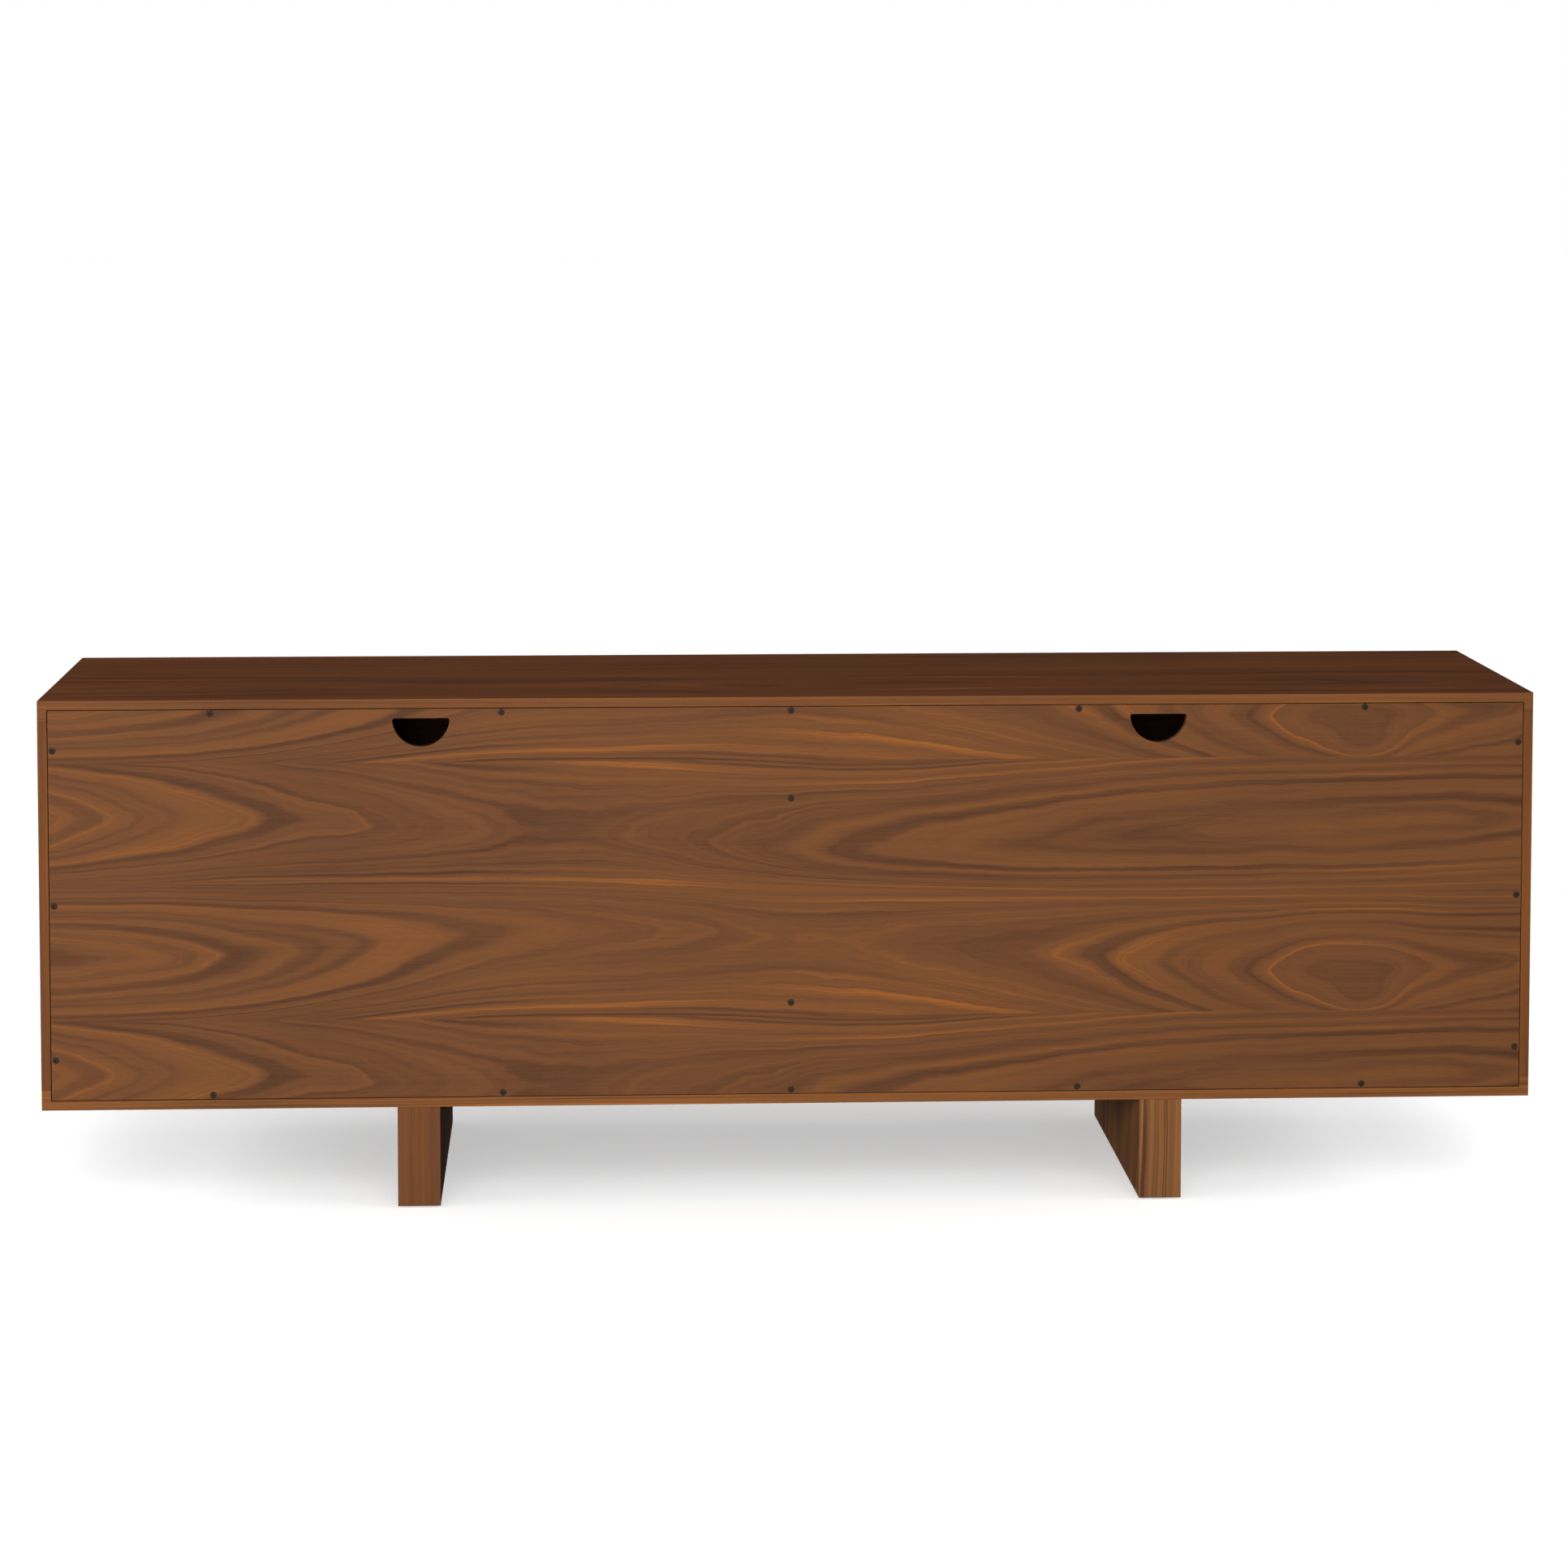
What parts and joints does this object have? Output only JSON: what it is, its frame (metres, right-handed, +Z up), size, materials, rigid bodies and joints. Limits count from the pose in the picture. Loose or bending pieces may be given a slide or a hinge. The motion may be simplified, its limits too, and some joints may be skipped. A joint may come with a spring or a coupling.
{
  "type": "media cabinet",
  "caption": "Long low walnut media cabinet on two plank legs, with sliding doors, shelved bays and a screwed back panel with half-round cable outlets.",
  "frame": {"origin": "on the floor, under the middle of the cabinet's width and depth", "axes": "+X along the cabinet towards its right end as seen from the front, +Y towards the rear, +Z up; the doors face -Y"},
  "size_m": [1.83, 0.457, 0.628],
  "materials": {
    "walnut_veneer": "satin lacquered walnut veneer on boards, with veneered edges",
    "walnut_veneer_back": "satin book-matched walnut veneer with the grain along the cabinet",
    "walnut_veneer_inside": "satin walnut veneer",
    "walnut_leg": "satin solid walnut, grain upright",
    "black_steel": "satin black",
    "zinc_steel": "bright zinc plated",
    "bronze_aluminium": "satin dark bronze anodised",
    "black_plastic": "matt moulded",
    "nylon": "natural nylon",
    "rubber_stop": "soft matt"
  },
  "bodies": {
    "case": {"top_panel": "walnut_veneer", "bottom_panel": "walnut_veneer", "left_side_panel": "walnut_veneer", "right_side_panel": "walnut_veneer", "centre_divider": "walnut_veneer_inside", "back_panel": "walnut_veneer_back", "left_shelf": "walnut_veneer_inside", "right_shelf": "walnut_veneer_inside", "left_leg": "walnut_leg", "right_leg": "walnut_leg", "upper_guide_channel": "bronze_aluminium", "lower_running_track": "bronze_aluminium", "left_door_stop": "rubber_stop", "right_door_stop": "rubber_stop", "back_screw_top_1": "black_steel", "back_screw_top_2": "black_steel", "back_screw_top_3": "black_steel", "back_screw_top_4": "black_steel", "back_screw_top_5": "black_steel", "back_screw_bottom_1": "black_steel", "back_screw_bottom_2": "black_steel", "back_screw_bottom_3": "black_steel", "back_screw_bottom_4": "black_steel", "back_screw_bottom_5": "black_steel", "back_screw_left_1": "black_steel", "back_screw_left_2": "black_steel", "back_screw_left_3": "black_steel", "back_screw_right_1": "black_steel", "back_screw_right_2": "black_steel", "back_screw_right_3": "black_steel", "back_screw_centre_1": "black_steel", "back_screw_centre_2": "black_steel", "leg_bolt_left_front": "zinc_steel", "leg_bolt_left_rear": "zinc_steel", "leg_bolt_right_front": "zinc_steel", "leg_bolt_right_rear": "zinc_steel", "foot_glide_left_front": "black_plastic", "foot_glide_left_rear": "black_plastic", "foot_glide_right_front": "black_plastic", "foot_glide_right_rear": "black_plastic", "left_shelf_pin_outer_front": "zinc_steel", "left_shelf_pin_outer_rear": "zinc_steel", "left_shelf_pin_inner_front": "zinc_steel", "left_shelf_pin_inner_rear": "zinc_steel", "right_shelf_pin_outer_front": "zinc_steel", "right_shelf_pin_outer_rear": "zinc_steel", "right_shelf_pin_inner_front": "zinc_steel", "right_shelf_pin_inner_rear": "zinc_steel"},
    "left_sliding_door": {"left_door": "walnut_veneer", "left_finger_pull": "black_steel", "left_roller_housing_1": "black_plastic", "left_roller_housing_2": "black_plastic"},
    "left_wheel_1": {"left_roller_wheel_1": "nylon"},
    "left_wheel_2": {"left_roller_wheel_2": "nylon"},
    "right_sliding_door": {"right_door": "walnut_veneer", "right_finger_pull": "black_steel", "right_roller_housing_1": "black_plastic", "right_roller_housing_2": "black_plastic"},
    "right_wheel_1": {"right_roller_wheel_1": "nylon"},
    "right_wheel_2": {"right_roller_wheel_2": "nylon"}
  },
  "joints": [
    {"name": "left_door_slide", "type": "slide", "parent": "case", "child": "left_sliding_door", "axis": [1, 0, 0], "range_m": [0, 0.87]},
    {"name": "left_wheel_1_spin", "type": "hinge", "parent": "left_sliding_door", "child": "left_wheel_1", "pos_m": [-0.80675, -0.215, 0.158], "axis": [0, 1, 0], "continuous": true},
    {"name": "left_wheel_2_spin", "type": "hinge", "parent": "left_sliding_door", "child": "left_wheel_2", "pos_m": [-0.065, -0.215, 0.158], "axis": [0, 1, 0], "continuous": true},
    {"name": "right_door_slide", "type": "slide", "parent": "case", "child": "right_sliding_door", "axis": [-1, 0, 0], "range_m": [0, 0.87]},
    {"name": "right_wheel_1_spin", "type": "hinge", "parent": "right_sliding_door", "child": "right_wheel_1", "pos_m": [0.065, -0.192, 0.158], "axis": [0, 1, 0], "continuous": true},
    {"name": "right_wheel_2_spin", "type": "hinge", "parent": "right_sliding_door", "child": "right_wheel_2", "pos_m": [0.80675, -0.192, 0.158], "axis": [0, 1, 0], "continuous": true}
  ],
  "couplings": [
    {"joint": "left_wheel_1_spin", "follows": "left_door_slide", "rad_per_m": 125},
    {"joint": "left_wheel_2_spin", "follows": "left_door_slide", "rad_per_m": 125},
    {"joint": "right_wheel_1_spin", "follows": "right_door_slide", "rad_per_m": -125},
    {"joint": "right_wheel_2_spin", "follows": "right_door_slide", "rad_per_m": -125}
  ]
}
